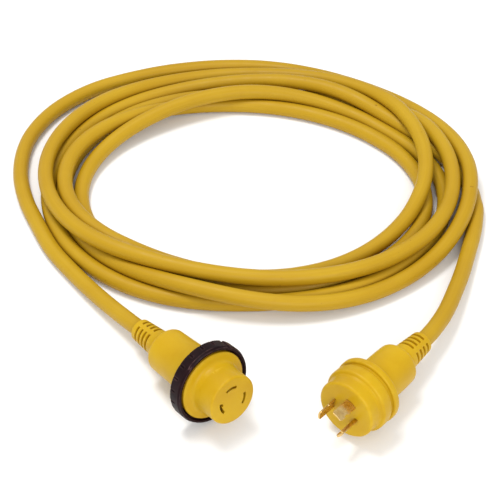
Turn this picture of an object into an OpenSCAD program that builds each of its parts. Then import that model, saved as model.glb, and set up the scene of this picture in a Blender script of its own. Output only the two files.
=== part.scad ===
// Shore power cord: a 30 A locking cordset with a moulded connector at one end, a moulded plug at
// the other and a round cable between them, lying in a loose coil. Millimetres, +Z up, floor at Z = 0.
// The origin is on the floor midway between the two ends. Each end is drawn along its own +Z axis,
// from the mouth of its strain relief to its face, and is then laid down by at_connector or at_plug.

/* [Cable] */
// Outside diameter of the cable jacket
cable_d = 16; // [15.5:0.5:16]
// Diameter over the insulation of one conductor
wire_d = 4.8; // [4:0.2:5]

/* [Strain reliefs] */
// Outside diameter at the mouth, where the cable leaves
relief_mouth_d = 21.8; // [21:0.2:22]
// Outside diameter at the root, where the relief meets the housing
relief_root_d = 26.8; // [26:0.2:27]
// Number of flex slots along each side
relief_slots = 4; // [2:1:4]

/* [Connector] */
// Length from the mouth of the strain relief to the socket face
connector_length = 138; // [137:1:140]
// Length of the strain relief that stands out of the housing
connector_relief = 38.4; // [38:0.2:39]
// Diameter of the grip, just behind the locking ring
connector_grip_d = 46.2; // [45.6:0.2:46.4]
// Diameter of the front flange
connector_flange_d = 66.2; // [65:0.2:66.4]
// Diameter of the nose that enters the inlet
connector_nose_d = 47.8; // [47:0.2:48.4]

/* [Locking ring] */
// Outside diameter
ring_d = 76.6; // [76:0.2:78]
// Width along the axis
ring_width = 13.4; // [13:0.2:14]
// Number of grip notches around the rim
ring_notches = 20; // [12:1:24]

/* [Plug] */
// Length from the mouth of the strain relief to the blade face
plug_length = 118; // [117:1:120]
// Length of the strain relief that stands out of the housing
plug_relief = 36.2; // [36:0.2:37]
// Diameter of the grip
plug_grip_d = 42.6; // [42:0.2:43]
// Diameter of the rear flange
plug_flange_d = 64.8; // [64:0.2:66]
// Diameter of the front disc
plug_disc_d = 63.4; // [63:0.2:64]
// Diameter of the nose
plug_nose_d = 56.4; // [56:0.2:57]
// How far the blades stand out of the face
blade_reach = 21; // [18:1:24]

/* [Contacts] */
// Radius of the circle that the blades and the socket slots lie on
contact_r = 13.2; // [13:0.1:13.4]
// Thickness of a blade
blade_t = 1.6; // [1.4:0.1:1.8]
// Angle that a blade covers round the circle
blade_arc = 46; // [40:1:50]

/* [Lay of the cord] */
// Height of the bundle of turns
coil_height = 40; // [36:1:46]
// Heading of the connector, anticlockwise from +X
connector_heading = -50.2; // [-51:0.2:-49]
// Tilt of the connector, whose ring rests on the floor
connector_tilt = 9.5; // [9:0.5:10]
// Heading of the plug, anticlockwise from +X
plug_heading = -129.8; // [-131:0.2:-129]
// Tilt of the plug, whose rear flange rests on the floor
plug_tilt = 5.2; // [4.8:0.2:5.6]

/* [Hidden] */
$fn = 96;

// Colours
yellow = [0.86, 0.68, 0.14];
cable_yellow = [0.80, 0.64, 0.18];
black = [0.10, 0.09, 0.10];
brass = [0.78, 0.60, 0.30];
steel = [0.70, 0.70, 0.72];
block_grey = [0.30, 0.31, 0.33];
wire_black = [0.06, 0.06, 0.06];
wire_white = [0.90, 0.90, 0.88];
wire_green = [0.10, 0.50, 0.20];

// Clearances and walls
slip = 0.05;            // between pieces that only lie against each other
cable_r = cable_d / 2;
cavity_r = 18;          // inside both housings
face_wall = 4;          // moulded over the front of both blocks
collar_r = 15.2;        // collar that holds a strain relief in its housing
collar_t = 3;           // length of that collar
lip_t = 2;              // rear lip of a housing, round the strain relief
shoulder = 8;           // length of the rounded shoulder
jacket_inside = 14;     // length of cable jacket inside a housing, from its rear lip
hook_inset = 6;         // angle from the end of the ground pole to the middle of its hook

// Angles of the three poles, anticlockwise as seen from the front of each face.
// The two faces are mirror images, so that the plug of one cord fits the connector of another.
connector_line_a = 339;
connector_neutral_a = 88;
connector_ground_a = 190;
plug_line_a = 176;
plug_neutral_a = 67;
plug_ground_a = 325;

// Middle of one column of flex slots on each strain relief; the other column is opposite
connector_slots_a = 11;
plug_slots_a = 144;

// Stations along the connector, from the mouth of the strain relief
c_ring_rear = 97.3;
c_ring_front = c_ring_rear + ring_width;
c_flange_rear = 105.4;
c_flange_front = 110.2;
c_nose_rear = 117.5;

// Stations along the plug
p_flange_rear = 81.8;
p_flange_front = 88.1;
p_disc_rear = 92.7;
p_disc_front = 103.1;
p_nose_rear = 106.5;

// Rounding of the edge that each end rests on
ring_bevel = 0.8;
plug_edge = 1.2;

// Where the mouths of the two strain reliefs are, so high that the edge rests on the floor
connector_base = [-129.6, 63.6,
    ring_d / 2 * cos(connector_tilt) - (c_ring_rear + ring_bevel) * sin(connector_tilt)];
plug_base = [130.8, 45.4,
    plug_flange_d / 2 * cos(plug_tilt) - (p_flange_rear + plug_edge) * sin(plug_tilt)];

// The coil's outline is where two equal circles overlap, and so is its open middle. The circles lie
// that far in front of the middle and that far behind it.
coil_outer_r = 236.9;
coil_outer_offset = 36.9;
coil_centre = [-18.5, 295];
coil_hole_r = 176;
coil_hole_offset = 47.5;
coil_hole_centre = [-25.5, 280.5];

// Route of the cable from the connector: out of the strain relief, round the left of the coil and
// into the coil at the far side
connector_route = [
    [-150, 88, 16], [-175, 118, 12], [-200, 150, 9], [-225, 185, 8],
    [-245, 225, 8], [-260, 260, 8], [-270, 300, 8], [-270, 345, 8],
    [-260, 380, 8], [-240, 413, 8], [-205, 445, 8], [-160, 467, 8],
    [-110, 482, 8], [-60, 487, 8], [-12, 486, 8]
];
// Route of the cable from the plug: out of the strain relief and under the right of the coil
plug_route = [
    [147, 72, 21], [160, 95, 18], [170, 120, 15], [180, 148, 11],
    [190, 180, 9], [200, 215, 8], [206, 250, 8], [208, 275, 8],
    [206, 298, 8]
];

// ---------- shared shapes ----------

// Points of an arc about c, from angle a0 to a1
function arc(c, r, a0, a1, n = 6) =
    [for (i = [0:n]) let (a = a0 + (a1 - a0) * i / n) c + r * [cos(a), sin(a)]];

module at_connector() {
    translate(connector_base) rotate([0, 90 - connector_tilt, connector_heading]) rotate(90)
        children();
}

module at_plug() {
    translate(plug_base) rotate([0, 90 - plug_tilt, plug_heading]) rotate(90)
        children();
}

// Plain tube about Z
module tube(r_out, r_in, z0, z1) {
    translate([0, 0, z0]) difference() {
        cylinder(h = z1 - z0, r = r_out);
        translate([0, 0, -1]) cylinder(h = z1 - z0 + 2, r = r_in);
    }
}

// Curved plate about Z, centred on angle a
module curved_plate(r_in, r_out, spread, a, z0, z1) {
    rotate(a - spread / 2) translate([0, 0, z0]) rotate_extrude(angle = spread)
        translate([r_in, 0]) square([r_out - r_in, z1 - z0]);
}

// Round rod from p to q
module rod(p, q, r) {
    d = q - p;
    translate(p) rotate([0, acos(d.z / norm(d)), atan2(d.y, d.x)]) cylinder(h = norm(d), r = r);
}

// Tapered sleeve with flex slots down both sides, and a collar inside the housing
module strain_relief(length, slots_a, first_slot) {
    edge = 1.5;
    mouth_r = relief_mouth_d / 2;
    root_r = relief_root_d / 2;
    bore_r = cable_r + slip;
    slot_w = 2;
    slot_depth = 2;
    slot_spread = 156;
    slot_step = 5.8;
    difference() {
        rotate_extrude() polygon(concat(
            [[bore_r, 0], [mouth_r - edge / 2, 0], [mouth_r, edge], [root_r, length - 6]],
            [[root_r, length + lip_t], [collar_r, length + lip_t]],
            [[collar_r, length + lip_t + collar_t], [bore_r, length + lip_t + collar_t]]
        ));
        for (i = [0:relief_slots - 1], side = [slots_a, slots_a + 180]) {
            z = first_slot + i * slot_step;
            r = mouth_r + (root_r - mouth_r) * z / length - slot_depth;
            curved_plate(r, root_r + 2, slot_spread, side, z - slot_w / 2, z + slot_w / 2);
        }
    }
}

// Outline of the rear of a housing, from its mouth round the strain relief to the grip
function housing_rear(length, grip_r) = concat(
    [[relief_root_d / 2 + slip, length], [relief_root_d / 2 + 1, length]],
    arc([grip_r - 7.5, length + shoulder], 7.5, -80, 0)
);

// Outline of the inside of a housing, from behind its face to its mouth
function housing_inside(length, front) = [
    [0, front], [cavity_r, front], [cavity_r, length + lip_t + collar_t + 2],
    [collar_r + slip, length + lip_t + collar_t + 2], [collar_r + slip, length + lip_t],
    [relief_root_d / 2 + slip, length + lip_t]
];

// Insulated wire from the end of the jacket to the crimp of its pole
module pole_wire(a, z_jacket, z_crimp) {
    inner_r = 4.4;
    straight = 5;
    bend_swell = 0.1;
    path = [
        [inner_r, 0, z_jacket + slip], [inner_r, 0, z_jacket + straight],
        [contact_r, 0, z_crimp - straight], [contact_r, 0, z_crimp + straight]
    ];
    rotate(a) union() {
        for (i = [0, 2]) rod(path[i], path[i + 1], wire_d / 2);
        rod(path[1], path[2], wire_d / 2 - bend_swell);
        for (i = [1:2]) translate(path[i]) sphere(r = wire_d / 2 + bend_swell, $fn = 48);
    }
}

// Crimp barrel behind a contact or a blade; the wire goes in from the rear
module crimp(a, z0, z1) {
    barrel_r = 3.3;
    floor_t = 1.5;
    rotate(a) translate([contact_r, 0, z0]) difference() {
        cylinder(h = z1 - z0, r = barrel_r);
        translate([0, 0, -1]) cylinder(h = z1 - z0 - floor_t + 1, r = wire_d / 2 + slip);
    }
}

// Sleeve crimped on the jacket, with a flange that bears on the collar of the strain relief
module cable_clamp(z0) {
    sleeve_t = 1.6;
    flange_t = 1.8;
    sleeve_l = 8;
    bore_r = cable_r + slip;
    tube(bore_r + sleeve_t, bore_r, z0 + flange_t, z0 + sleeve_l);
    tube(collar_r - 0.5, bore_r, z0, z0 + flange_t + 0.01);
}

// Jacket of the cable inside the strain relief and the clamp
module cable_end(z1) {
    cylinder(h = z1, r = cable_r);
}

// Slot for one pole; hook is -1 or 1 for the side of the ground pole's hook and 0 for none
module pole_slot(a, hook, z0, z1, gap) {
    r0 = contact_r - blade_t / 2 - gap;
    r1 = contact_r + blade_t / 2 + gap;
    spread = blade_arc + 2 * gap * 180 / (PI * contact_r);
    curved_plate(r0, r1, spread, a, z0, z1);
    if (hook != 0) pole_hook(a, hook, z0, z1, gap);
}

// Inward hook at one end of the ground pole
module pole_hook(a, hook, z0, z1, gap) {
    hook_l = 3.2;
    r1 = contact_r + blade_t / 2 - 0.2;
    rotate(a + hook * (blade_arc / 2 - hook_inset)) translate([r1 - hook_l, -blade_t / 2 - gap, z0])
        cube([hook_l, blade_t + 2 * gap, z1 - z0]);
}

// ---------- connector ----------

module connector_strain_relief() {
    color(yellow) at_connector() strain_relief(connector_relief, connector_slots_a, 7);
}

module connector_housing() {
    grip_r = connector_grip_d / 2;
    flange_r = connector_flange_d / 2;
    nose_r = connector_nose_d / 2;
    cove_r = 5;
    edge = 1.5;
    front = connector_length;
    color(yellow) at_connector() difference() {
        rotate_extrude() polygon(concat(
            housing_rear(connector_relief, grip_r - 1.6),
            [[grip_r, c_ring_rear - 4], [grip_r, c_flange_rear], [flange_r - 0.8, c_flange_rear]],
            [[flange_r, c_flange_rear + 0.8], [flange_r, c_flange_front]],
            arc([flange_r - edge, c_flange_front], edge, 0, 90, 4),
            arc([nose_r + cove_r, c_nose_rear + 0.6], cove_r, 265, 180),
            arc([nose_r - edge, front - edge], edge, 0, 90, 4),
            [[0, front]],
            housing_inside(connector_relief, front - face_wall)
        ));
        pole_slot(connector_line_a, 0, front - face_wall - 1, front + 1, 0.3);
        pole_slot(connector_neutral_a, 0, front - face_wall - 1, front + 1, 0.3);
        pole_slot(connector_ground_a, -1, front - face_wall - 1, front + 1, 0.3);
    }
}

block_z0 = connector_length - 28;
block_z1 = connector_length - face_wall - slip;
jaw_z0 = block_z0 + 2;
jaw_z1 = block_z1 - 1;
jaw_t = 0.8;
jaw_gap = 1.9;

// Room for one contact in the block
module contact_pocket(a) {
    r0 = contact_r - jaw_gap / 2 - jaw_t - 0.2;
    r1 = contact_r + jaw_gap / 2 + jaw_t + 0.2;
    curved_plate(r0, r1, blade_arc + 4, a, jaw_z0 - 0.2, block_z1 + 1);
    rotate(a) translate([contact_r, 0, block_z0 - 1]) cylinder(h = 4, r = 3.4);
}

module connector_contact_block() {
    color(block_grey) at_connector() difference() {
        translate([0, 0, block_z0]) cylinder(h = block_z1 - block_z0, r = cavity_r - slip);
        contact_pocket(connector_line_a);
        contact_pocket(connector_neutral_a);
        contact_pocket(connector_ground_a);
        curved_plate(contact_r - 3.2, contact_r, 12, connector_ground_a - blade_arc / 2 + hook_inset,
            jaw_z0 + 2, block_z1 + 1);
    }
}

// Two spring jaws on a base, with a crimp barrel behind it
module socket_contact(a) {
    r0 = contact_r - jaw_gap / 2 - jaw_t;
    r1 = contact_r + jaw_gap / 2 + jaw_t;
    base_t = 1.5;
    color(brass) at_connector() union() {
        curved_plate(r0, r0 + jaw_t, blade_arc - 6, a, jaw_z0 + 0.5, jaw_z1);
        curved_plate(r1 - jaw_t, r1, blade_arc - 6, a, jaw_z0 + 0.5, jaw_z1);
        curved_plate(r0, r1, blade_arc - 6, a, jaw_z0, jaw_z0 + base_t);
        crimp(a, jaw_z0 - 9, jaw_z0 + 0.2);
    }
}

module connector_line_contact() {
    socket_contact(connector_line_a);
}

module connector_neutral_contact() {
    socket_contact(connector_neutral_a);
}

module connector_ground_contact() {
    socket_contact(connector_ground_a);
}

c_jacket_end = connector_relief + jacket_inside;

module connector_line_wire() {
    color(wire_black) at_connector() pole_wire(connector_line_a, c_jacket_end, jaw_z0 - 8);
}

module connector_neutral_wire() {
    color(wire_white) at_connector() pole_wire(connector_neutral_a, c_jacket_end, jaw_z0 - 8);
}

module connector_ground_wire() {
    color(wire_green) at_connector() pole_wire(connector_ground_a, c_jacket_end, jaw_z0 - 8);
}

module connector_cable_clamp() {
    color(steel) at_connector() cable_clamp(connector_relief + lip_t + collar_t + slip);
}

module connector_cable_end() {
    color(cable_yellow) at_connector() cable_end(c_jacket_end);
}

// Ring that turns on the grip and is held by the front flange. Its inside carries the thread that
// draws the connector onto an inlet, drawn as closed ridges of the thread's own size.
module locking_ring() {
    r = ring_d / 2;
    bevel = ring_bevel;
    lip_r = connector_grip_d / 2 + 0.3;
    lip = 2.6;
    root_r = connector_flange_d / 2 + 2.3;
    crest_r = connector_flange_d / 2 + 1.2;
    pitch = 3.2;
    notch_depth = 0.9;
    notch_w = 1.3;
    rear_band = 8;
    color(black) at_connector() translate([0, 0, c_ring_rear]) difference() {
        union() {
            rotate_extrude() polygon([
                [lip_r, 0], [r - bevel, 0], [r, bevel], [r, ring_width - 2 * bevel],
                [r - 1.2 * bevel, ring_width], [root_r, ring_width], [root_r, lip], [lip_r, lip]
            ]);
            for (i = [0:2]) tube(root_r + 0.2, crest_r, lip + 1 + i * pitch, lip + 2 + i * pitch);
        }
        for (i = [0:ring_notches - 1]) rotate(i * 360 / ring_notches)
            translate([r - notch_depth, -notch_w / 2, -1]) cube([3, notch_w, rear_band + 1]);
    }
}

// ---------- plug ----------

module plug_strain_relief() {
    color(yellow) at_plug() strain_relief(plug_relief, plug_slots_a, 5.8);
}

module plug_housing() {
    grip_r = plug_grip_d / 2;
    flange_r = plug_flange_d / 2;
    disc_r = plug_disc_d / 2;
    nose_r = plug_nose_d / 2;
    groove_r = disc_r - 2.2;
    neck_r = 3;
    edge = plug_edge;
    front = plug_length;
    color(yellow) at_plug() difference() {
        rotate_extrude() polygon(concat(
            housing_rear(plug_relief, grip_r),
            arc([grip_r + neck_r, p_flange_rear - neck_r], neck_r, 180, 90, 4),
            arc([flange_r - edge, p_flange_rear + edge], edge, -90, 0, 4),
            arc([flange_r - edge, p_flange_front - edge], edge, 0, 90, 4),
            [[groove_r, p_flange_front + 0.4], [groove_r, p_disc_rear - 0.4]],
            arc([disc_r - edge, p_disc_rear + edge], edge, -90, 0, 4),
            arc([disc_r - 2 * edge, p_disc_front - 2 * edge], 2 * edge, 0, 75, 4),
            [[nose_r + 0.6, p_nose_rear - 1], [nose_r, p_nose_rear + 0.5]],
            arc([nose_r - 2, front - 2], 2, 0, 90, 4),
            [[0, front]],
            housing_inside(plug_relief, front - face_wall)
        ));
        pole_slot(plug_line_a, 0, front - face_wall - 1, front + 1, slip);
        pole_slot(plug_neutral_a, 0, front - face_wall - 1, front + 1, slip);
        pole_slot(plug_ground_a, 1, front - face_wall - 1, front + 1, slip);
    }
}

carrier_z0 = plug_length - 26;
carrier_z1 = plug_length - face_wall - slip;

module plug_blade_block() {
    color(block_grey) at_plug() difference() {
        translate([0, 0, carrier_z0]) cylinder(h = carrier_z1 - carrier_z0, r = cavity_r - slip);
        pole_slot(plug_line_a, 0, carrier_z0 - 1, carrier_z1 + 1, slip);
        pole_slot(plug_neutral_a, 0, carrier_z0 - 1, carrier_z1 + 1, slip);
        pole_slot(plug_ground_a, 1, carrier_z0 - 1, carrier_z1 + 1, slip);
    }
}

// Curved locking blade, notched behind its tip, with a crimp barrel at the rear
module blade(a, hook) {
    tip = plug_length + blade_reach;
    notch_from = tip - 11;
    notch_to = tip - 6;
    notch_arc = 12;
    color(brass) at_plug() union() {
        difference() {
            pole_slot(a, 0, carrier_z0 - 1, tip, 0);
            curved_plate(contact_r - 2, contact_r + 2, notch_arc, a - blade_arc / 2,
                notch_from, notch_to);
        }
        if (hook != 0) pole_hook(a, hook, carrier_z0 + 1, tip, 0);
        crimp(a, carrier_z0 - 10, carrier_z0 - 0.5);
    }
}

module plug_line_blade() {
    blade(plug_line_a, 0);
}

module plug_neutral_blade() {
    blade(plug_neutral_a, 0);
}

module plug_ground_blade() {
    blade(plug_ground_a, 1);
}

p_jacket_end = plug_relief + jacket_inside;

module plug_line_wire() {
    color(wire_black) at_plug() pole_wire(plug_line_a, p_jacket_end, carrier_z0 - 8.5);
}

module plug_neutral_wire() {
    color(wire_white) at_plug() pole_wire(plug_neutral_a, p_jacket_end, carrier_z0 - 8.5);
}

module plug_ground_wire() {
    color(wire_green) at_plug() pole_wire(plug_ground_a, p_jacket_end, carrier_z0 - 8.5);
}

module plug_cable_clamp() {
    color(steel) at_plug() cable_clamp(plug_relief + lip_t + collar_t + slip);
}

module plug_cable_end() {
    color(cable_yellow) at_plug() cable_end(p_jacket_end);
}

// ---------- cord ----------

sides = 10;

// Direction of an end of the cord, from its mouth out along the cable
function out_of(heading, tilt) = -[cos(heading) * cos(tilt), sin(heading) * cos(tilt), sin(tilt)];

// Direction of the route at point i
function along(p, i) = let (d = p[min(i + 1, len(p) - 1)] - p[max(i - 1, 0)]) d / norm(d);

// Ring of points about p, square to direction d, with one point straight below
function ring_points(p, d) =
    let (side = cross(d, [0, 0, 1]) / norm(cross(d, [0, 0, 1])), up = cross(side, d))
    [for (k = [0:sides - 1]) let (a = 360 * k / sides) p + cable_r * (sin(a) * side - cos(a) * up)];

// Tube swept along route, starting at base and square to the mouth there
module swept_tube(base, first_direction, route) {
    path = concat([base], route);
    n = len(path);
    points = [for (i = [0:n - 1], q = ring_points(path[i], i == 0 ? first_direction : along(path, i))) q];
    walls = [for (i = [0:n - 2], k = [0:sides - 1])
        [i * sides + k, i * sides + (k + 1) % sides,
         (i + 1) * sides + (k + 1) % sides, (i + 1) * sides + k]];
    start_cap = [[for (k = [sides - 1:-1:0]) k]];
    end_cap = [[for (k = [0:sides - 1]) (n - 1) * sides + k]];
    polyhedron(points, concat(walls, start_cap, end_cap));
}

module cord_lead_connector() {
    color(cable_yellow)
        swept_tube(connector_base, out_of(connector_heading, connector_tilt), connector_route);
}

module cord_lead_plug() {
    color(cable_yellow) swept_tube(plug_base, out_of(plug_heading, plug_tilt), plug_route);
}

// Round-ended upright body where two equal circles overlap
module lens(centre, r, offset, z0, z1) {
    intersection() {
        translate([centre.x, centre.y - offset, z0]) cylinder(h = z1 - z0, r = r);
        translate([centre.x, centre.y + offset, z0]) cylinder(h = z1 - z0, r = r);
    }
}

module cord_coil() {
    color(cable_yellow) difference() {
        lens(coil_centre, coil_outer_r, coil_outer_offset, 0, coil_height);
        lens(coil_hole_centre, coil_hole_r, coil_hole_offset, -1, coil_height + 1);
    }
}

connector_strain_relief();
connector_housing();
connector_contact_block();
connector_line_contact();
connector_neutral_contact();
connector_ground_contact();
connector_line_wire();
connector_neutral_wire();
connector_ground_wire();
connector_cable_clamp();
connector_cable_end();
locking_ring();
plug_strain_relief();
plug_housing();
plug_blade_block();
plug_line_blade();
plug_neutral_blade();
plug_ground_blade();
plug_line_wire();
plug_neutral_wire();
plug_ground_wire();
plug_cable_clamp();
plug_cable_end();
cord_lead_connector();
cord_coil();
cord_lead_plug();
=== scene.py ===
import math

import bmesh
import bpy
import numpy as np
from mathutils import Matrix, Vector


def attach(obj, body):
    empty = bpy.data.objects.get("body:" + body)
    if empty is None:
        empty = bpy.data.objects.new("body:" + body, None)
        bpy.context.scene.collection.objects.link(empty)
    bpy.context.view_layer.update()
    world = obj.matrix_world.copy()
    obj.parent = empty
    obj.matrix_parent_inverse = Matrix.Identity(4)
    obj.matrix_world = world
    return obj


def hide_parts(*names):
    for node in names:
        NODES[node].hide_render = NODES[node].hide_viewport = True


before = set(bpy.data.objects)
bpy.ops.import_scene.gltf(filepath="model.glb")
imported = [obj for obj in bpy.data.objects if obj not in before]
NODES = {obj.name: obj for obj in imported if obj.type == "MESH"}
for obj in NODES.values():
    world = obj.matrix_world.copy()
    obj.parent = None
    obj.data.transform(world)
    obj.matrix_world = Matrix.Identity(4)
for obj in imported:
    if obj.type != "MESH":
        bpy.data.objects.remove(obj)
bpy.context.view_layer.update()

# Shore power cord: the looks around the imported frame. Lengths are in millimetres up to the point
# where a mesh is made, and in metres after it.
MM = 0.001

# ---------- camera ----------

camera_data = bpy.data.cameras.new("camera")
camera_data.sensor_width = 36
camera_data.lens = 103.9
camera_data.clip_start = 0.02
camera_data.dof.use_dof = False
camera = bpy.data.objects.new("camera", camera_data)
camera.location = (-0.028, -0.851, 1.009)
camera.rotation_euler = (math.radians(46), 0, 0)
bpy.context.scene.collection.objects.link(camera)
bpy.context.scene.camera = camera

# ---------- where the two ends lie (as in the CAD model) ----------

RING_D = 76.6
PLUG_FLANGE_R = 32.4
RING_REST = 98.1        # how far along the connector the ring's edge lies on the floor
FLANGE_REST = 83        # how far along the plug the flange's edge lies on the floor
CONNECTOR_TILT, CONNECTOR_HEADING = math.radians(9.5), math.radians(-50.2)
PLUG_TILT, PLUG_HEADING = math.radians(5.2), math.radians(-129.8)
CONNECTOR_BASE = np.array(
    [-129.6, 63.6, RING_D / 2 * math.cos(CONNECTOR_TILT)
     - RING_REST * math.sin(CONNECTOR_TILT)])
PLUG_BASE = np.array(
    [130.8, 45.4, PLUG_FLANGE_R * math.cos(PLUG_TILT) - FLANGE_REST * math.sin(PLUG_TILT)])


def placement(base, tilt, heading):
    """From an end's own frame, with +Z from the mouth of its strain relief to its face, to the
    frame of the whole part."""
    return (Matrix.Translation(Vector(base))
            @ Matrix.Rotation(heading, 4, "Z")
            @ Matrix.Rotation(math.pi / 2 - tilt, 4, "Y")
            @ Matrix.Rotation(math.pi / 2, 4, "Z"))


AT_CONNECTOR = placement(CONNECTOR_BASE, CONNECTOR_TILT, CONNECTOR_HEADING)
AT_PLUG = placement(PLUG_BASE, PLUG_TILT, PLUG_HEADING)

# ---------- the cord ----------

CABLE_D = 16.0
CABLE_R = CABLE_D / 2
LAYER = 15.0            # rise from one layer of turns to the next
STEP = 12.0             # spacing of the points that settle
SINK = .12              # how far a loose point sinks at each step of the settling
HOLD = .03              # share of its way back to where it was laid that a point goes at each step
STIFFNESS = ((1, .055), (2, .05), (4, .04))     # against bends over so many points
NEIGHBOURS = 60         # length along the cord within which two stretches don't count as touching
REACH = CABLE_D + STEP * 1.2 + 6                # how near two segments come before they are watched
WATCH_EVERY = 20        # steps between two looks for segments that are near
EASED = 60.0            # length of cord that is turned into line with an end

# The two stretches outside the coil follow the same points as the CAD model's tubes
CONNECTOR_ROUTE = [
    (-150, 88, 16), (-175, 118, 12), (-200, 150, 9), (-225, 185, 8),
    (-245, 225, 8), (-260, 260, 8), (-270, 300, 8), (-270, 345, 8),
    (-260, 380, 8), (-240, 413, 8), (-205, 445, 8), (-160, 467, 8),
    (-110, 482, 8), (-60, 487, 8), (-12, 486, 8),
]
PLUG_ROUTE = [
    (147, 72, 21), (160, 95, 18), (170, 120, 15), (180, 148, 11),
    (190, 180, 9), (200, 215, 8), (206, 250, 8), (208, 275, 8),
    (206, 298, 8),
]

# The coil is wound clockwise, seen from above. Each turn starts at the far right, and the loop
# below takes it round in twelve steps of 30 degrees. For each step: the distance from the coil's
# centre, and the layer, 0 on the floor and 1 on top of another turn.
COIL_CENTRE = (-20, 290)
FIRST_ANGLE = 60
ANGLE_STEP = 30
TURNS = [
    [(195, 0), (210, .5), (225, 1), (215, .7), (200, 0), (190, .5),
     (180, .8), (200, 0), (205, 0), (190, 0), (160, 0), (140, 0)],
    [(155, 0), (180, 0), (205, 1), (200, 1), (175, 1), (160, 1),
     (165, 1.4), (200, 1.7), (225, 1), (210, .2), (195, 0), (185, 0)],
    [(180, .7), (180, 1.2), (180, .7), (165, .6), (150, 0), (145, 0),
     (160, .3), (190, 1), (205, 1), (175, 0), (145, 0), (125, 0)],
    [(130, 0), (150, 0), (175, 0), (180, 0), (170, 0), (160, 0),
     (170, 0), (180, 0), (190, 0), (155, 0), (135, .3), (135, .9)],
    [(140, .6), (165, 0), (200, 0), (195, 0), (185, 0), (175, 0),
     (195, 0), (215, 0), (220, 0), (200, 1), (175, 0), (160, 0)],
    [(165, 0)],
]


def through(points, per_span=12):
    """Dense points on a centripetal Catmull-Rom curve through the given points."""
    points = np.asarray(points, float)
    ends = np.vstack([2 * points[0] - points[1], points, 2 * points[-1] - points[-2]])
    out = []
    for p0, p1, p2, p3 in zip(ends, ends[1:], ends[2:], ends[3:]):
        t1 = np.linalg.norm(p1 - p0) ** .5
        t2 = t1 + np.linalg.norm(p2 - p1) ** .5
        t3 = t2 + np.linalg.norm(p3 - p2) ** .5
        for t in np.linspace(t1, t2, per_span, endpoint=False):
            a1 = (t1 - t) / t1 * p0 + t / t1 * p1
            a2 = (t2 - t) / (t2 - t1) * p1 + (t - t1) / (t2 - t1) * p2
            a3 = (t3 - t) / (t3 - t2) * p2 + (t - t2) / (t3 - t2) * p3
            b1 = (t2 - t) / t2 * a1 + t / t2 * a2
            b2 = (t3 - t) / (t3 - t1) * a2 + (t - t1) / (t3 - t1) * a3
            out.append((t2 - t) / (t2 - t1) * b1 + (t - t1) / (t2 - t1) * b2)
    out.append(points[-1])
    return np.array(out)


def respaced(points, step):
    """The same line with its points about step apart."""
    along = np.r_[0, np.cumsum(np.linalg.norm(np.diff(points, axis=0), axis=1))]
    at = np.linspace(0, along[-1], int(round(along[-1] / step)) + 1)
    return np.array([np.interp(at, along, points[:, k]) for k in range(3)]).T


def laid_path():
    """The cord before it settles: both leads, and the coil's turns worked out by a loop."""
    route = [CONNECTOR_BASE] + [np.array(p, float) for p in CONNECTOR_ROUTE]
    angle = FIRST_ANGLE
    for turn in TURNS:
        for radius, layer in turn:
            a = math.radians(angle)
            route.append(np.array([COIL_CENTRE[0] + radius * math.cos(a),
                                   COIL_CENTRE[1] + radius * math.sin(a),
                                   CABLE_R + LAYER * layer]))
            angle -= ANGLE_STEP
    route += [np.array(p, float) for p in reversed(PLUG_ROUTE)] + [PLUG_BASE]
    return respaced(through(route), STEP)


def nearest_on(p1, q1, p2, q2):
    """Where, from 0 to 1 on each, the segments p1-q1 and p2-q2 come closest."""
    d1, d2, r = q1 - p1, q2 - p2, p1 - p2
    a, e, b = (d1 * d1).sum(1), (d2 * d2).sum(1), (d1 * d2).sum(1)
    f, c = (d2 * r).sum(1), (d1 * r).sum(1)
    den = a * e - b * b
    s = np.where(den > 1e-9, np.clip((b * f - c * e) / np.maximum(den, 1e-9), 0, 1), .5)
    t = np.clip((b * s + f) / e, 0, 1)
    return np.clip((b * t - c) / a, 0, 1), t


def near_pairs(x, reach):
    """Segments of the cord that lie within reach of each other and aren't next to each other."""
    middle = (x[:-1] + x[1:]) / 2
    apart = ((middle[:, None, :] - middle[None, :, :]) ** 2).sum(2)
    return np.where(np.triu(apart < reach ** 2, int(NEIGHBOURS / STEP)))


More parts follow.
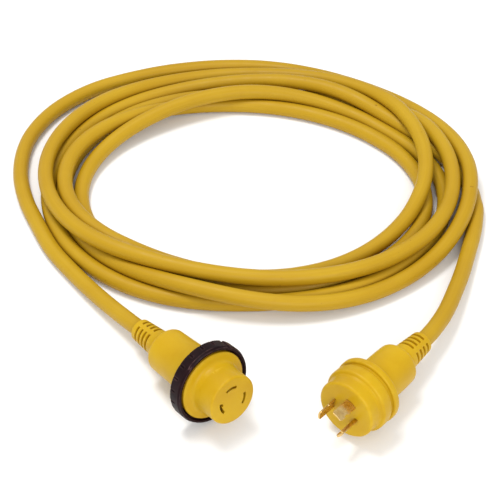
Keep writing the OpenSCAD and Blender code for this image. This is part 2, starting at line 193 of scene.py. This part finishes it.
def settled(x, free_from, free_to, steps=900):
    """Lets the turns settle under their weight: they keep their length and their stiffness, rest
    on the floor and on each other, and stay near where they were laid. The leads are held."""
    laid = x.copy()
    free = np.zeros(len(x))
    free[free_from:free_to] = 1
    loose = free > 0
    rest = np.linalg.norm(np.diff(x, axis=0), axis=1)
    for step in range(steps):
        if step % WATCH_EVERY == 0:
            i, j = near_pairs(x, REACH)
        x[loose, 2] -= SINK * (1 - .6 * step / steps)
        x[:, :2] += (HOLD * free)[:, None] * (laid[:, :2] - x[:, :2])
        for stride, stiffness in STIFFNESS:
            bend = np.zeros_like(x)
            bend[stride:-stride] = (x[:-2 * stride] - 2 * x[stride:-stride] + x[2 * stride:])
            pull = np.zeros_like(x)
            pull[2 * stride:-2 * stride] = (bend[stride:-3 * stride]
                                            - 2 * bend[2 * stride:-2 * stride]
                                            + bend[3 * stride:-stride])
            x -= (stiffness * free)[:, None] * pull
        for _ in range(3):
            s, t = nearest_on(x[i], x[i + 1], x[j], x[j + 1])
            gap = (x[j] * (1 - t)[:, None] + x[j + 1] * t[:, None]
                   - x[i] * (1 - s)[:, None] - x[i + 1] * s[:, None])
            dist = np.linalg.norm(gap, axis=1)
            hit = dist < CABLE_D
            ii, jj, s, t = i[hit], j[hit], s[hit], t[hit]
            way = gap[hit] / np.maximum(dist[hit], 1e-6)[:, None]
            weight = (free[ii] * (1 - s) ** 2 + free[ii + 1] * s ** 2
                      + free[jj] * (1 - t) ** 2 + free[jj + 1] * t ** 2)
            push = (CABLE_D - dist[hit]) / np.maximum(weight, 1e-6)
            move, count = np.zeros_like(x), np.zeros(len(x))
            for at, share, side in ((ii, 1 - s, -1), (ii + 1, s, -1),
                                    (jj, 1 - t, 1), (jj + 1, t, 1)):
                np.add.at(move, at, (side * push * share * free[at])[:, None] * way)
                np.add.at(count, at, share)
            x += .6 * move / np.maximum(count, 1)[:, None]
            for first in (0, 1):
                k = np.arange(first, len(x) - 1, 2)
                d = x[k + 1] - x[k]
                length = np.linalg.norm(d, axis=1)
                both = np.maximum(free[k] + free[k + 1], 1e-9)
                change = (length - rest[k]) / np.maximum(length, 1e-9) / both
                x[k] += (free[k] * change)[:, None] * d
                x[k + 1] -= (free[k + 1] * change)[:, None] * d
            x[loose, 2] = np.maximum(x[loose, 2], CABLE_R)
    return x


def nearest_index(x, point):
    """Which point of the cord lies nearest."""
    return int(np.argmin(np.linalg.norm(x - np.array(point, float), axis=1)))


laid = laid_path()
cord_points = settled(laid, nearest_index(laid, CONNECTOR_ROUTE[-3]),
                      nearest_index(laid, PLUG_ROUTE[-3]))


def end_direction(tilt, heading):
    """Unit vector along an end, from the mouth of its strain relief to its face."""
    return np.array([math.cos(heading) * math.cos(tilt), math.sin(heading) * math.cos(tilt),
                     math.sin(tilt)])


def softened_ends(x):
    """Finer points, which leave both mouths in line with them."""
    fine = respaced(through(x, 3), 6)
    for base, way, order in ((CONNECTOR_BASE, end_direction(CONNECTOR_TILT, CONNECTOR_HEADING), 1),
                             (PLUG_BASE, end_direction(PLUG_TILT, PLUG_HEADING), -1)):
        line = fine[::order]
        far = np.linalg.norm(line - base, axis=1)
        n = int(np.argmax(far > EASED))
        goal, after = line[n].copy(), line[n + 3] - line[n]
        after = after / np.linalg.norm(after)
        for k in range(n):
            t = k / n
            h00, h10 = 2 * t ** 3 - 3 * t ** 2 + 1, t ** 3 - 2 * t ** 2 + t
            h01, h11 = -2 * t ** 3 + 3 * t ** 2, t ** 3 - t ** 2
            line[k] = h00 * base + h10 * EASED * -way + h01 * goal + h11 * EASED * after
        line[:n, 2] = np.maximum(line[:n, 2], CABLE_R)
    return fine


cord_points = softened_ends(cord_points)


def new_object(name, vertices, faces, uv=None):
    """Mesh object from vertices, faces and, where given, a uv pair for each face corner."""
    mesh = bpy.data.meshes.new(name)
    mesh.from_pydata([tuple(v) for v in vertices], [], faces)
    if uv is not None:
        layer = mesh.uv_layers.new(name="UVMap")
        layer.data.foreach_set("uv", np.asarray(uv, np.float32).ravel())
    mesh.validate()
    mesh.update()
    obj = bpy.data.objects.new(name, mesh)
    bpy.context.scene.collection.objects.link(obj)
    return obj


def shade(obj, angle=32):
    """Smooth shading, with edges sharper than angle left crisp."""
    obj.data.shade_smooth()
    obj.data.set_sharp_from_angle(angle=math.radians(angle))


def swept(name, points, radius, sides=24):
    """Round tube along points, in mm, with u along it in metres and v once round it."""
    tangents = np.gradient(points, axis=0)
    tangents /= np.linalg.norm(tangents, axis=1)[:, None]
    side = np.cross(tangents[0], (0, 0, 1))
    rings = []
    for p, t in zip(points, tangents):
        side = side - t * (side @ t)
        side /= np.linalg.norm(side)
        up = np.cross(side, t)
        a = np.arange(sides) * 2 * math.pi / sides
        rings.append(p + radius * (np.cos(a)[:, None] * side + np.sin(a)[:, None] * up))
    vertices = np.concatenate(rings) * MM
    along = np.r_[0, np.cumsum(np.linalg.norm(np.diff(points, axis=0), axis=1))] * MM
    faces, uv = [], []
    for i in range(len(points) - 1):
        for k in range(sides):
            m = (k + 1) % sides
            faces.append((i * sides + k, i * sides + m, (i + 1) * sides + m, (i + 1) * sides + k))
            uv += [(along[i], k / sides), (along[i], (k + 1) / sides),
                   (along[i + 1], (k + 1) / sides), (along[i + 1], k / sides)]
    last = (len(points) - 1) * sides
    faces.append(tuple(range(sides - 1, -1, -1)))
    faces.append(tuple(range(last, last + sides)))
    uv += [(0, 0)] * (2 * sides)
    return new_object(name, vertices, faces, uv)


cord = swept("cord", cord_points, CABLE_R)
shade(cord, 60)

# ---------- shapes of the two ends ----------

# Distances along an end count from the mouth of its strain relief, as in the CAD model
CONNECTOR_RELIEF, CONNECTOR_FACE = 38.4, 138
PLUG_RELIEF, PLUG_FACE = 36.2, 118
RELIEF_MOUTH_R, RELIEF_ROOT_R = 10.9, 13.4
COLLAR_R = 15.2         # collar of a strain relief, held inside the housing
CAVITY_R = 18
FACE_T = 4
# Angles of line, neutral and ground round an end
CONNECTOR_POLES = (339, 88, 190)
PLUG_POLES = (176, 67, 325)
CONTACT_R = 13.2        # circle that the poles lie on
BLADE_T = 1.6
BLADE_ARC = 46
BLADE_REACH = 21.0
SLOT_DEPTH = 5
HOOK_INSET = 6          # angle from the end of a ground pole's arc to its hook
HOOK_L = 3.2
GAP_ANGLE = 52          # where the wide gap in the ring's rim is

def filleted(corners, arc_steps=5):
    """Outline of (r, z) points from (r, z, fillet radius) corners; the ends stay as they are."""
    out = [corners[0][:2]]
    for before, (r, z, radius), after in zip(corners, corners[1:], corners[2:]):
        p = np.array((r, z), float)
        a, b = np.array(before[:2]) - p, np.array(after[:2]) - p
        la, lb = np.linalg.norm(a), np.linalg.norm(b)
        a, b = a / la, b / lb
        half = math.acos(max(-1, min(1, float(a @ b)))) / 2
        if radius <= 0 or half > math.radians(88):
            out.append((r, z))
            continue
        reach = min(radius / math.tan(half), .49 * la, .49 * lb)
        radius = reach * math.tan(half)
        middle = (a + b) / np.linalg.norm(a + b)
        centre = p + middle * radius / math.sin(half)
        start, end = p + a * reach - centre, p + b * reach - centre
        sweep = math.atan2(start[0] * end[1] - start[1] * end[0], float(start @ end))
        for k in range(arc_steps + 1):
            w = sweep * k / arc_steps
            out.append((centre[0] + start[0] * math.cos(w) - start[1] * math.sin(w),
                        centre[1] + start[0] * math.sin(w) + start[1] * math.cos(w)))
    out.append(corners[-1][:2])
    return np.array(out)


def stepped(outline, longest):
    """The outline with no side longer than longest."""
    out = [outline[0]]
    for p, q in zip(outline, outline[1:]):
        n = max(1, int(math.ceil(np.linalg.norm(q - p) / longest)))
        out += [p + (q - p) * k / n for k in range(1, n + 1)]
    return np.array(out)


def revolved(name, profile, columns, matrix):
    """Closed body of revolution; profile(angle) gives a closed outline of (r, z) points. Points
    on the axis are joined up."""
    rings = []
    for c in range(columns):
        a = 2 * math.pi * c / columns
        outline = profile(a)
        rings.append(np.column_stack([outline[:, 0] * math.cos(a), outline[:, 0] * math.sin(a),
                                      outline[:, 1]]))
    rows = len(rings[0])
    vertices = np.concatenate(rings)
    faces = [(c * rows + k, ((c + 1) % columns) * rows + k,
              ((c + 1) % columns) * rows + (k + 1) % rows, c * rows + (k + 1) % rows)
             for c in range(columns) for k in range(rows)]
    obj = new_object(name, vertices, faces)
    work = bmesh.new()
    work.from_mesh(obj.data)
    bmesh.ops.remove_doubles(work, verts=work.verts, dist=1e-4)
    bmesh.ops.recalc_face_normals(work, faces=work.faces)
    work.to_mesh(obj.data)
    work.free()
    finish_mesh(obj, matrix)
    return obj


def finish_mesh(obj, matrix):
    """Puts a mesh made in millimetres, in an end's own frame, in its place in metres."""
    obj.data.transform(Matrix.Scale(MM, 4) @ matrix)
    obj.data.update()


def applied(obj):
    """Applies the modifiers of obj to its mesh."""
    graph = bpy.context.evaluated_depsgraph_get()
    mesh = bpy.data.meshes.new_from_object(obj.evaluated_get(graph))
    obj.modifiers.clear()
    obj.data = mesh
    return obj


def combined(obj, other, operation):
    """Obj after a boolean with other, which goes away."""
    modifier = obj.modifiers.new("combine", "BOOLEAN")
    modifier.operation = operation
    modifier.solver = "EXACT"
    modifier.object = other
    bpy.context.view_layer.update()
    applied(obj)
    bpy.data.objects.remove(other)
    return obj


def smooth_step(x):
    """From 0 to 1 with no corner at either end."""
    x = np.clip(x, 0, 1)
    return x * x * (3 - 2 * x)


def strain_relief(name, length, roll, first, matrix):
    """Tapered sleeve with flex slots down both sides and a plain spine above and below."""
    mouth_r, root_r, bore_r = RELIEF_MOUTH_R, RELIEF_ROOT_R, CABLE_R + .05
    slots, pitch, width, depth = 4, 5.8, 2.5, 2.2
    spread, roll = math.radians(78), math.radians(roll)
    soft = .5
    outer = stepped(filleted([(bore_r, 0, 0), (mouth_r, 0, .8), (root_r, length - 6, 8),
                              (root_r, length + 1, 0)]), .3)
    collar = np.array([(root_r, length + 2), (COLLAR_R, length + 2), (COLLAR_R, length + 5),
                       (bore_r, length + 5)])
    outline = np.vstack([outer, collar])
    depth_at = np.zeros(len(outline))
    for n in range(slots):
        z = first + n * pitch
        depth_at = np.maximum(depth_at, smooth_step(
            (width / 2 + soft / 2 - np.abs(outline[:, 1] - z)) / soft))
    depth_at[outline[:, 0] < bore_r + .3] = 0
    depth_at[outline[:, 1] > length - 4] = 0

    def profile(angle):
        side = abs(math.remainder(angle - roll, math.pi))
        share = float(smooth_step((spread - side) * outline[0, 0] / 1.2 + .5))
        cut = outline.copy()
        cut[:, 0] = np.maximum(outline[:, 0] - depth * depth_at * share, bore_r)
        return cut

    obj = revolved(name, profile, 144, matrix)
    shade(obj, 50)
    return obj


def curved_slab(r_in, r_out, start, end, z0, z1, step=2.5):
    """Closed block between two radii, two angles in degrees and two heights."""
    n = max(2, int(math.ceil(abs(end - start) / step)))
    vertices, faces = [], []
    for k in range(n + 1):
        a = math.radians(start + (end - start) * k / n)
        for r, z in ((r_in, z0), (r_out, z0), (r_out, z1), (r_in, z1)):
            vertices.append((r * math.cos(a), r * math.sin(a), z))
    for k in range(n):
        for m in range(4):
            faces.append((4 * k + m, 4 * (k + 1) + m, 4 * (k + 1) + (m + 1) % 4,
                          4 * k + (m + 1) % 4))
    faces += [(0, 1, 2, 3), tuple(4 * n + m for m in (3, 2, 1, 0))]
    obj = new_object("slab", vertices, faces)
    work = bmesh.new()
    work.from_mesh(obj.data)
    bmesh.ops.recalc_face_normals(work, faces=work.faces)
    work.to_mesh(obj.data)
    work.free()
    return obj


def hook_slab(angle, hook, z0, z1, gap):
    """Block for the inward hook of a ground pole."""
    middle = math.radians(angle + hook * (BLADE_ARC / 2 - HOOK_INSET))
    r1 = CONTACT_R + BLADE_T / 2 - .2
    half = BLADE_T / 2 + gap
    corners = [(r, t, z) for z in (z0, z1)
               for r, t in ((r1 - HOOK_L, -half), (r1, -half), (r1, half), (r1 - HOOK_L, half))]
    vertices = [(r * math.cos(middle) - t * math.sin(middle),
                 r * math.sin(middle) + t * math.cos(middle), z) for r, t, z in corners]
    faces = [(3, 2, 1, 0), (4, 5, 6, 7), (0, 1, 5, 4), (1, 2, 6, 5), (2, 3, 7, 6), (3, 0, 4, 7)]
    return new_object("hook", vertices, faces)


def cut_slots(obj, poles, hook_side, face, depth, gap, matrix):
    """Cuts the three pole slots into a housing's face."""
    spread = BLADE_ARC / 2 + math.degrees(gap / CONTACT_R)
    for n, angle in enumerate(poles):
        slab = curved_slab(CONTACT_R - BLADE_T / 2 - gap, CONTACT_R + BLADE_T / 2 + gap,
                           angle - spread, angle + spread, face - depth, face + 1)
        if n == 2:
            combined(slab, hook_slab(angle, hook_side, face - depth, face + 1, gap), "UNION")
        finish_mesh(slab, matrix)
        combined(obj, slab, "DIFFERENCE")
    return obj


def inside(length, face):
    """Corners of a housing's inside, from the middle of its face to the strain relief's hole."""
    hole_r, collar_room = RELIEF_ROOT_R + .05, COLLAR_R + .05
    return [(0, face, 0), (0, face - FACE_T, 0), (CAVITY_R, face - FACE_T, 0),
            (CAVITY_R, length + 7, 0), (collar_room, length + 7, 0), (collar_room, length + 2, 0),
            (hole_r, length + 2, 0), (hole_r, length, 0)]


def connector_housing():
    """Grip, flange with a cove in front of it, and the nose with its three slots."""
    length, face = CONNECTOR_RELIEF, CONNECTOR_FACE
    outline = stepped(filleted([
        (13.45, length, 0), (14.6, length, .6), (21.4, length + 1.2, 7), (21.8, length + 18, 0),
        (23.1, 92, 6), (23.1, 105.4, 0), (33.1, 105.4, .8), (33.1, 110.5, 1.4),
        (30.6, 111.5, 1.4), (24.6, 112.8, 5.0), (23.9, 119, 2), (23.9, face, 1.8),
        *inside(length, face)]), 4)
    obj = revolved("connector_body", lambda angle: outline[:-1], 160, AT_CONNECTOR)
    cut_slots(obj, CONNECTOR_POLES, -1, face, SLOT_DEPTH, .5, AT_CONNECTOR)
    shade(obj)
    return obj


def plug_housing():
    """Grip, flange, groove, disc and the nose that the blades stand out of."""
    length, face = PLUG_RELIEF, PLUG_FACE
    outline = stepped(filleted([
        (13.45, length, 0), (14.6, length, .6), (20.6, length + 1.2, 7), (21.2, length + 15, 6),
        (21.3, 77, 0), (21.6, 81, 3.4), (32.4, 81.8, 1.5), (32.4, 88.1, 1.7), (29.4, 88.6, .5),
        (29.4, 92.3, .5), (31.7, 92.7, 1.5), (31.7, 102.8, 2.6), (28.9, 104.2, 1.2),
        (28.2, 107.0, 1.5), (28.2, face, 2.4),
        *inside(length, face)]), 4)
    obj = revolved("plug_body", lambda angle: outline[:-1], 160, AT_PLUG)
    cut_slots(obj, PLUG_POLES, 1, face, SLOT_DEPTH, .06, AT_PLUG)
    shade(obj)
    return obj


def locking_ring():
    """Ring with grip notches, a bevelled front, one wide gap in its rim and a thread inside."""
    rear, width, radius, lip_r = 97.3, 13.4, RING_D / 2, 23.4
    notches, notch_w, notch_depth, band = 20, 1.5, .8, 6.6
    gap_at, gap_w, gap_depth = math.radians(GAP_ANGLE), 3.6, 1.8
    thread_r, crest, pitch = 35.4, 1.1, 3.2
    outer = stepped(filleted([(lip_r, 0, 0), (lip_r + .01, 0, 0), (radius - .1, 0, .7),
                              (radius, band + .4, 0), (radius, width - 2.6, .2),
                              (radius - .7, width - 1.2, .6), (radius - 1.0, width, .5),
                              (thread_r, width, .4), (thread_r, 2.8, 0), (thread_r, 2.6, 0),
                              (lip_r, 2.6, .3), (lip_r, 0, 0)]), .35)[:-1]
    r, z = outer[:, 0], outer[:, 1]
    outside = r > thread_r + .8
    inside = (np.abs(r - thread_r) < .05) & (z > 3.2) & (z < width - .8)
    shelf = smooth_step((band - z) / .5 + .5)

    def profile(angle):
        cut = outer.copy()
        turn = math.remainder(angle, 2 * math.pi / notches) * radius
        share = float(smooth_step((notch_w / 2 - abs(turn)) / .25 + .5))
        limit = radius - notch_depth * share * shelf
        cut[outside, 0] = np.minimum(r[outside], limit[outside])
        off = abs(math.remainder(angle - gap_at, 2 * math.pi)) * radius
        sunk = float(smooth_step((gap_w / 2 - off) / .6 + .5)) * gap_depth
        cut[outside, 0] = np.minimum(cut[outside, 0], radius - sunk)
        phase = np.mod(z / pitch - angle / (2 * math.pi), 1)
        ridge = np.clip(1 - np.abs(phase - .5) / .32, 0, 1)
        cut[inside, 0] = r[inside] - crest * ridge[inside]
        cut[:, 1] += rear
        return cut

    obj = revolved("ring", profile, 480, AT_CONNECTOR)
    shade(obj, 40)
    return obj


def blade(name, angle, hook):
    """Curved blade: a sheet bent round the contact circle, with rounded tip corners and a locking
    notch in one edge, thickened and with its edges eased."""
    z0, tip = PLUG_FACE - SLOT_DEPTH, PLUG_FACE + BLADE_REACH
    half = math.radians(BLADE_ARC / 2) * CONTACT_R
    columns, rows = 16, 60
    corner = 1.6
    notch_w, notch_from, notch_to = 1.6, 11, 6
    vertices, faces = [], []
    for c in range(columns + 1):
        s = -half + 2 * half * c / columns
        over = max(0, abs(s) - (half - corner))
        top = tip - (corner - math.sqrt(max(0, corner ** 2 - over ** 2)))
        for k in range(rows + 1):
            a = math.radians(angle) + s / CONTACT_R
            z = z0 + (top - z0) * k / rows
            vertices.append((CONTACT_R * math.cos(a), CONTACT_R * math.sin(a), z))
    for c in range(columns):
        s = -half + 2 * half * (c + .5) / columns
        for k in range(rows):
            z = z0 + (tip - z0) * (k + .5) / rows
            if s < -half + notch_w and tip - notch_from < z < tip - notch_to:
                continue
            v = c * (rows + 1) + k
            faces.append((v, v + rows + 1, v + rows + 2, v + 1))
    obj = new_object(name, vertices, faces)
    work = bmesh.new()
    work.from_mesh(obj.data)
    bmesh.ops.delete(work, geom=[v for v in work.verts if not v.link_faces], context="VERTS")
    work.to_mesh(obj.data)
    work.free()
    thick = obj.modifiers.new("thick", "SOLIDIFY")
    thick.thickness = BLADE_T
    thick.offset = 0
    applied(obj)
    if hook:
        combined(obj, hook_slab(angle, hook, z0, tip - 1.2, 0), "UNION")
    ease = obj.modifiers.new("ease", "BEVEL")
    ease.width = .22
    ease.segments = 2
    ease.limit_method = "ANGLE"
    ease.angle_limit = math.radians(50)
    applied(obj)
    finish_mesh(obj, AT_PLUG)
    shade(obj, 40)
    return obj


connector_relief = strain_relief("connector_boot", CONNECTOR_RELIEF, 11, 7, AT_CONNECTOR)
plug_relief = strain_relief("plug_boot", PLUG_RELIEF, 144, 5.8, AT_PLUG)
connector_body = connector_housing()
plug_body = plug_housing()
ring = locking_ring()
blades = [blade("blade_line", PLUG_POLES[0], 0), blade("blade_neutral", PLUG_POLES[1], 0),
          blade("blade_ground", PLUG_POLES[2], 1)]

# ---------- materials ----------


class Shader:
    """A Principled material under construction."""

    def __init__(self, name):
        self.material = bpy.data.materials.new(name)
        self.material.use_nodes = True
        self.tree = self.material.node_tree
        self.bsdf = self.tree.nodes["Principled BSDF"]
        self.place = self.add("ShaderNodeTexCoord").outputs["Object"]

    def add(self, kind, **settings):
        node = self.tree.nodes.new(kind)
        for key, value in settings.items():
            setattr(node, key, value)
        return node

    def link(self, output, socket):
        self.tree.links.new(output, socket)

    def noise(self, scale, detail=3, rough=.5, place=None, stretch=None):
        source = place or self.place
        if stretch:
            mapping = self.add("ShaderNodeMapping")
            mapping.inputs["Scale"].default_value = stretch
            self.link(source, mapping.inputs["Vector"])
            source = mapping.outputs[0]
        node = self.add("ShaderNodeTexNoise")
        node.inputs["Scale"].default_value = scale
        node.inputs["Detail"].default_value = detail
        node.inputs["Roughness"].default_value = rough
        self.link(source, node.inputs["Vector"])
        return node.outputs["Fac"]

    def ramp(self, value, stops):
        node = self.add("ShaderNodeValToRGB")
        elements = node.color_ramp.elements
        while len(elements) < len(stops):
            elements.new(.5)
        for element, (at, colour) in zip(elements, stops):
            element.position = at
            element.color = (*colour, 1)
        self.link(value, node.inputs["Fac"])
        return node.outputs["Color"]

    def mix(self, share, base, colour):
        """The base with a share of a plain colour over it."""
        node = self.add("ShaderNodeMix", data_type="RGBA")
        self.link(share, node.inputs[0])
        self.link(base, node.inputs[6])
        node.inputs[7].default_value = (*colour, 1)
        return node.outputs[2]

    def span(self, value, low, high, out_low, out_high):
        node = self.add("ShaderNodeMapRange")
        for key, number in (("From Min", low), ("From Max", high), ("To Min", out_low),
                            ("To Max", out_high)):
            node.inputs[key].default_value = number
        self.link(value, node.inputs["Value"])
        return node.outputs[0]

    def product(self, a, b):
        node = self.add("ShaderNodeMath", operation="MULTIPLY")
        self.link(a, node.inputs[0])
        self.link(b, node.inputs[1])
        return node.outputs[0]

    def bump(self, heights):
        """Chains bumps from (height output, strength, distance in metres)."""
        normal = None
        for height, strength, distance in heights:
            node = self.add("ShaderNodeBump")
            node.inputs["Strength"].default_value = strength
            node.inputs["Distance"].default_value = distance
            self.link(height, node.inputs["Height"])
            if normal is not None:
                self.link(normal, node.inputs["Normal"])
            normal = node.outputs["Normal"]
        self.link(normal, self.bsdf.inputs["Normal"])


def edge_light(shader, low=.5, high=.56):
    """How far a point stands out on a convex edge, from 0 to 1."""
    geometry = shader.add("ShaderNodeNewGeometry")
    return shader.span(geometry.outputs["Pointiness"], low, high, 0, 1)


def crevice(shader, distance):
    """Share of open sky over a point, from the shape alone: low in slots and grooves. The materials
    darken by it to paint shade there.
    """
    node = shader.add("ShaderNodeAmbientOcclusion")
    node.inputs["Distance"].default_value = distance
    node.samples = 6
    return node.outputs["AO"]


def moulded_yellow():
    s = Shader("moulded_yellow")
    wide = s.noise(22, 3)
    cloud = s.ramp(wide, [(.35, (.455, .262, .0020)), (.65, (.515, .315, .0045))])
    worn = s.product(edge_light(s), s.span(s.noise(160, 4), .4, .7, .0, .6))
    eased = s.mix(worn, cloud, (.62, .42, .035))
    # Painted shade: the moulding turns dark brown in slots, grooves and between parts, where
    # ambient occlusion finds little open sky.
    crevice_shade = s.span(crevice(s, .004), .25, .8, .75, 0)
    crevice_shaded = s.mix(crevice_shade, eased, (.23, .082, .0015))
    scuff = s.span(s.noise(420, 2, .4), .72, .80, 0, .35)
    s.link(s.mix(scuff, crevice_shaded, (.38, .20, .012)), s.bsdf.inputs["Base Color"])
    s.link(s.span(s.noise(90, 4), .3, .7, .34, .48), s.bsdf.inputs["Roughness"])
    s.bsdf.inputs["Specular IOR Level"].default_value = .18
    s.bsdf.inputs["Subsurface Weight"].default_value = .06
    s.bsdf.inputs["Subsurface Radius"].default_value = (.004, .002, .0004)
    s.bsdf.inputs["Subsurface Scale"].default_value = 1.0
    s.bump([(s.noise(60, 2), .12, .0006), (s.noise(2600, 3), .10, .00006)])
    return s.material


def cable_yellow():
    s = Shader("cable_yellow")
    uv = s.add("ShaderNodeTexCoord").outputs["UV"]
    wide = s.noise(9, 4)
    cloud = s.ramp(wide, [(.32, (.405, .232, .0065)), (.68, (.470, .290, .0120))])
    drawn = s.span(s.noise(1, 3, .6, uv, (14, 26, 1)), .35, .65, 0, .20)
    streaked = s.mix(drawn, cloud, (.345, .188, .005))
    speck = s.span(s.noise(210, 2, .5), .745, .775, 0, .6)
    marked = s.mix(speck, streaked, (.20, .085, .01))
    rub = s.span(s.noise(38, 5, .65), .60, .72, 0, .30)
    rubbed = s.mix(rub, marked, (.40, .22, .012))
    # Painted shade: the cable turns darker where ambient occlusion finds little open sky, between
    # touching turns and next to the ends.
    crevice_shade = s.span(crevice(s, .006), .15, .75, .55, 0)
    s.link(s.mix(crevice_shade, rubbed, (.20, .078, .003)), s.bsdf.inputs["Base Color"])
    s.link(s.span(s.noise(70, 4), .3, .7, .38, .54), s.bsdf.inputs["Roughness"])
    s.bsdf.inputs["Specular IOR Level"].default_value = .18
    s.bump([(s.noise(1, 2, .5, uv, (30, 7, 1)), .25, .0004), (s.noise(1900, 3), .10, .00008)])
    return s.material


def moulded_black():
    s = Shader("moulded_black")
    cloud = s.ramp(s.noise(70, 4), [(.35, (.0075, .0022, .0032)), (.65, (.0165, .0050, .0062))])
    worn = s.product(edge_light(s, .5, .55), s.span(s.noise(240, 4), .35, .65, .1, .8))
    s.link(s.mix(worn, cloud, (.105, .055, .052)), s.bsdf.inputs["Base Color"])
    s.link(s.span(s.noise(180, 4), .3, .7, .34, .52), s.bsdf.inputs["Roughness"])
    s.bsdf.inputs["Specular IOR Level"].default_value = .08
    s.bump([(s.noise(2200, 3), .22, .00008)])
    return s.material


def brass():
    s = Shader("brass")
    cloud = s.ramp(s.noise(120, 4), [(.35, (.62, .40, .13)), (.65, (.74, .53, .22))])
    tarnish = s.span(s.noise(300, 4, .6), .5, .75, 0, .35)
    s.link(s.mix(tarnish, cloud, (.26, .12, .04)), s.bsdf.inputs["Base Color"])
    s.bsdf.inputs["Metallic"].default_value = 1
    s.link(s.span(s.noise(400, 4), .3, .7, .16, .32), s.bsdf.inputs["Roughness"])
    s.bump([(s.noise(1, 3, .5, None, (300, 300, 4000)), .10, .00005)])
    return s.material


def steel():
    s = Shader("steel")
    s.link(s.ramp(s.noise(300, 4), [(.3, (.42, .42, .43)), (.7, (.62, .62, .63))]),
           s.bsdf.inputs["Base Color"])
    s.bsdf.inputs["Metallic"].default_value = 1
    s.link(s.span(s.noise(700, 4), .3, .7, .30, .48), s.bsdf.inputs["Roughness"])
    s.bump([(s.noise(1800, 3), .15, .00005)])
    return s.material


def insulation(name, dark, light):
    s = Shader(name)
    s.link(s.ramp(s.noise(160, 4), [(.3, dark), (.7, light)]), s.bsdf.inputs["Base Color"])
    s.link(s.span(s.noise(300, 4), .3, .7, .40, .56), s.bsdf.inputs["Roughness"])
    s.bump([(s.noise(2400, 3), .15, .00006)])
    return s.material


YELLOW = moulded_yellow()
CABLE = cable_yellow()
BLACK = moulded_black()
BRASS = brass()
STEEL = steel()
BLOCK = insulation("block_amber", (.20, .095, .006), (.28, .145, .012))
WIRES = {"line": insulation("wire_black", (.008, .008, .008), (.020, .020, .020)),
         "neutral": insulation("wire_white", (.66, .65, .61), (.78, .77, .74)),
         "ground": insulation("wire_green", (.012, .16, .035), (.025, .24, .055))}


def coat(obj, material):
    """Gives obj this one material."""
    obj.data.materials.clear()
    obj.data.materials.append(material)


# ---------- pieces: body, the CAD nodes they stand for, and finish ----------

coat(cord, CABLE)
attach(cord, "cord")
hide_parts("cord_lead_connector", "cord_coil", "cord_lead_plug")

for piece, body, node, slot, material in (
        (connector_relief, "cord", "connector_strain_relief", "yellow_moulding", YELLOW),
        (connector_body, "cord", "connector_housing", "yellow_moulding", YELLOW),
        (ring, "ring", "locking_ring", "black_moulding", BLACK),
        (plug_relief, "cord", "plug_strain_relief", "yellow_moulding", YELLOW),
        (plug_body, "cord", "plug_housing", "yellow_moulding", YELLOW),
        (blades[0], "cord", "plug_line_blade", "brass", BRASS),
        (blades[1], "cord", "plug_neutral_blade", "brass", BRASS),
        (blades[2], "cord", "plug_ground_blade", "brass", BRASS)):
    coat(piece, material)
    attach(piece, body)
    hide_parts(node)

for end in ("connector", "plug"):
    coat(NODES[end + "_cable_end"], CABLE)
    coat(NODES[end + "_cable_clamp"], STEEL)
    for pole, material in WIRES.items():
        coat(NODES[end + "_" + pole + "_wire"], material)
for pole in WIRES:
    coat(NODES["connector_" + pole + "_contact"], BRASS)
coat(NODES["connector_contact_block"], BLOCK)
coat(NODES["plug_blade_block"], BLOCK)

plug_pieces = [plug_relief, plug_body, *blades]
plug_pieces += [NODES["plug_" + n] for n in ("blade_block", "cable_clamp", "cable_end", "line_wire",
                                             "neutral_wire", "ground_wire")]

# ---------- floor and light ----------

FLOOR_HALF = 3.0
floor = new_object("floor", [(-FLOOR_HALF, -FLOOR_HALF, 0), (FLOOR_HALF, -FLOOR_HALF, 0),
                             (FLOOR_HALF, FLOOR_HALF, 0), (-FLOOR_HALF, FLOOR_HALF, 0)],
                   [(0, 1, 2, 3)])
paper = Shader("pale_floor")
paper.link(paper.ramp(paper.noise(3, 2), [(.3, (.86, .86, .86)), (.7, (.89, .89, .89))]),
           paper.bsdf.inputs["Base Color"])
paper.bsdf.inputs["Roughness"].default_value = .9
paper.bsdf.inputs["Specular IOR Level"].default_value = .1
coat(floor, paper.material)


def softbox(name, place, target, size, power):
    """White rectangular light at place, turned to target."""
    data = bpy.data.lights.new(name, "AREA")
    data.shape = "RECTANGLE"
    data.size, data.size_y = size
    data.energy = power
    obj = bpy.data.objects.new(name, data)
    obj.location = place
    way = Vector(target) - Vector(place)
    obj.rotation_euler = way.to_track_quat("-Z", "Y").to_euler()
    bpy.context.scene.collection.objects.link(obj)


softbox("key", (-.45, .45, 1.9), (0, .25, 0), (.7, .6), 22)
softbox("fill", (.35, -1.5, 1.1), (0, .1, 0), (1.2, .8), 18)

world = bpy.data.worlds.new("studio")
world.use_nodes = True
world.node_tree.nodes["Background"].inputs["Color"].default_value = (1, 1, 1, 1)
world.node_tree.nodes["Background"].inputs["Strength"].default_value = .8
bpy.context.scene.world = world
bpy.context.scene.view_settings.view_transform = "Standard"
